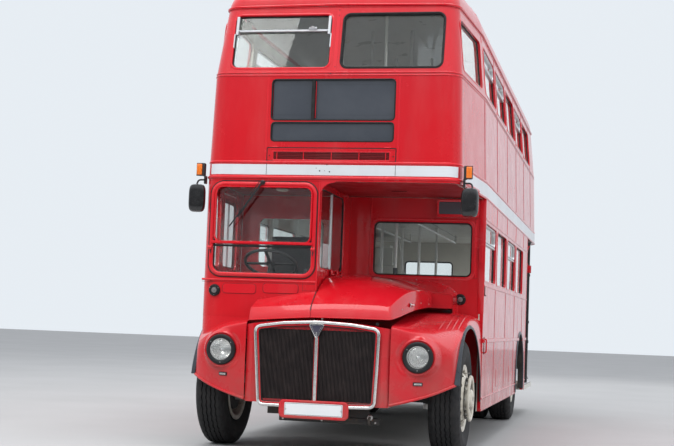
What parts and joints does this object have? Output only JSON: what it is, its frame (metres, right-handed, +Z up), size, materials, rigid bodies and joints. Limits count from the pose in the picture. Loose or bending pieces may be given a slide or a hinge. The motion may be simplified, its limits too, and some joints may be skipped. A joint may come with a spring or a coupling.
{
  "type": "half-cab double decker bus",
  "caption": "Front-engined double deck bus with a half cab beside the bonnet, an open rear platform with stairs, and steered front wheels.",
  "frame": {"origin": "on the road surface, half way along the bus and on its centre line", "axes": "+X to the nearside, -Y towards the nose, +Z up"},
  "size_m": [2.62, 8.41, 4.385],
  "materials": {
    "body_red": "gloss",
    "roof_red": "gloss",
    "chassis_black": "satin",
    "floor_lino": "matte",
    "wheel_white": "satin",
    "tyre": "matte",
    "glass": "gloss",
    "seat_fabric": "matte",
    "bright_metal": "polished",
    "lamp_glass": "gloss",
    "indicator_orange": "gloss",
    "black_plastic": "matte",
    "engine_iron": "rough",
    "pole_white": "gloss"
  },
  "bodies": {
    "body": {"chassis_frame": "chassis_black", "lower_deck_floor": "floor_lino", "rear_platform": "floor_lino", "front_bulkhead": "body_red", "lower_side_nearside": "body_red", "lower_side_offside": "body_red", "lower_rear_panel": "body_red", "upper_deck_floor": "floor_lino", "upper_side_nearside": "body_red", "upper_side_offside": "body_red", "upper_front_panel": "body_red", "upper_rear_panel": "body_red", "roof": "roof_red", "cab_shell": "body_red", "bonnet_cowl": "body_red", "front_wing_nearside": "body_red", "front_wing_offside": "body_red", "radiator_surround": "body_red", "radiator_grille": "bright_metal", "number_plate": "body_red", "engine_block": "engine_iron", "front_axle": "chassis_black", "rear_axle": "chassis_black", "fuel_tank": "chassis_black", "drive_shaft": "chassis_black", "staircase": "floor_lino", "lower_deck_seats": "seat_fabric", "upper_deck_seats": "seat_fabric", "driver_seat": "seat_fabric", "lower_windows": "glass", "upper_windows": "glass", "front_lamps": "lamp_glass", "indicators": "indicator_orange", "mirrors": "black_plastic", "grab_poles": "pole_white", "platform_pole": "black_plastic"},
    "steering_nearside": {"steering_knuckle_nearside": "chassis_black"},
    "steering_offside": {"steering_knuckle_offside": "chassis_black"},
    "front_wheel_nearside": {"front_tyre_nearside": "tyre", "front_wheel_nearside": "wheel_white"},
    "front_wheel_offside": {"front_tyre_offside": "tyre", "front_wheel_offside": "wheel_white"},
    "rear_wheels_nearside": {"rear_tyres_nearside": "tyre", "rear_wheels_nearside": "wheel_white"},
    "rear_wheels_offside": {"rear_tyres_offside": "tyre", "rear_wheels_offside": "wheel_white"},
    "cab_door": {"cab_door": "body_red", "cab_door_glass": "glass"},
    "bonnet": {"bonnet": "body_red"},
    "steering_wheel": {"steering_wheel": "black_plastic"}
  },
  "joints": [
    {"name": "steer_nearside", "type": "hinge", "parent": "body", "child": "steering_nearside", "pos_m": [0.84, -3.345, 0.5], "axis": [0, 0, 1], "range_deg": [-35, 35]},
    {"name": "steer_offside", "type": "hinge", "parent": "body", "child": "steering_offside", "pos_m": [-0.84, -3.345, 0.5], "axis": [0, 0, 1], "range_deg": [-35, 35]},
    {"name": "front_spin_nearside", "type": "hinge", "parent": "steering_nearside", "child": "front_wheel_nearside", "pos_m": [1.035, -3.345, 0.51], "axis": [1, 0, 0], "continuous": true},
    {"name": "rear_spin_nearside", "type": "hinge", "parent": "body", "child": "rear_wheels_nearside", "pos_m": [0.855, 1.785, 0.51], "axis": [1, 0, 0], "continuous": true},
    {"name": "front_spin_offside", "type": "hinge", "parent": "steering_offside", "child": "front_wheel_offside", "pos_m": [-1.035, -3.345, 0.51], "axis": [1, 0, 0], "continuous": true},
    {"name": "rear_spin_offside", "type": "hinge", "parent": "body", "child": "rear_wheels_offside", "pos_m": [-0.855, 1.785, 0.51], "axis": [1, 0, 0], "continuous": true},
    {"name": "cab_door_swing", "type": "hinge", "parent": "body", "child": "cab_door", "pos_m": [-1.1775, -3.3925, 1.73], "axis": [0, 0, 1], "range_deg": [0, 80]},
    {"name": "bonnet_lift", "type": "hinge", "parent": "body", "child": "bonnet", "pos_m": [-0.072, -3.3, 1.6], "axis": [0, -1, 0], "range_deg": [0, 58]},
    {"name": "steering_wheel_turn", "type": "hinge", "parent": "body", "child": "steering_wheel", "pos_m": [-0.62, -3.475, 1.64], "axis": [0, 0.4695, 0.8829], "range_deg": [-630, 630]}
  ],
  "couplings": [
    {"joint": "steer_offside", "follows": "steer_nearside", "ratio": 1},
    {"joint": "steering_wheel_turn", "follows": "steer_nearside", "ratio": 18}
  ]
}
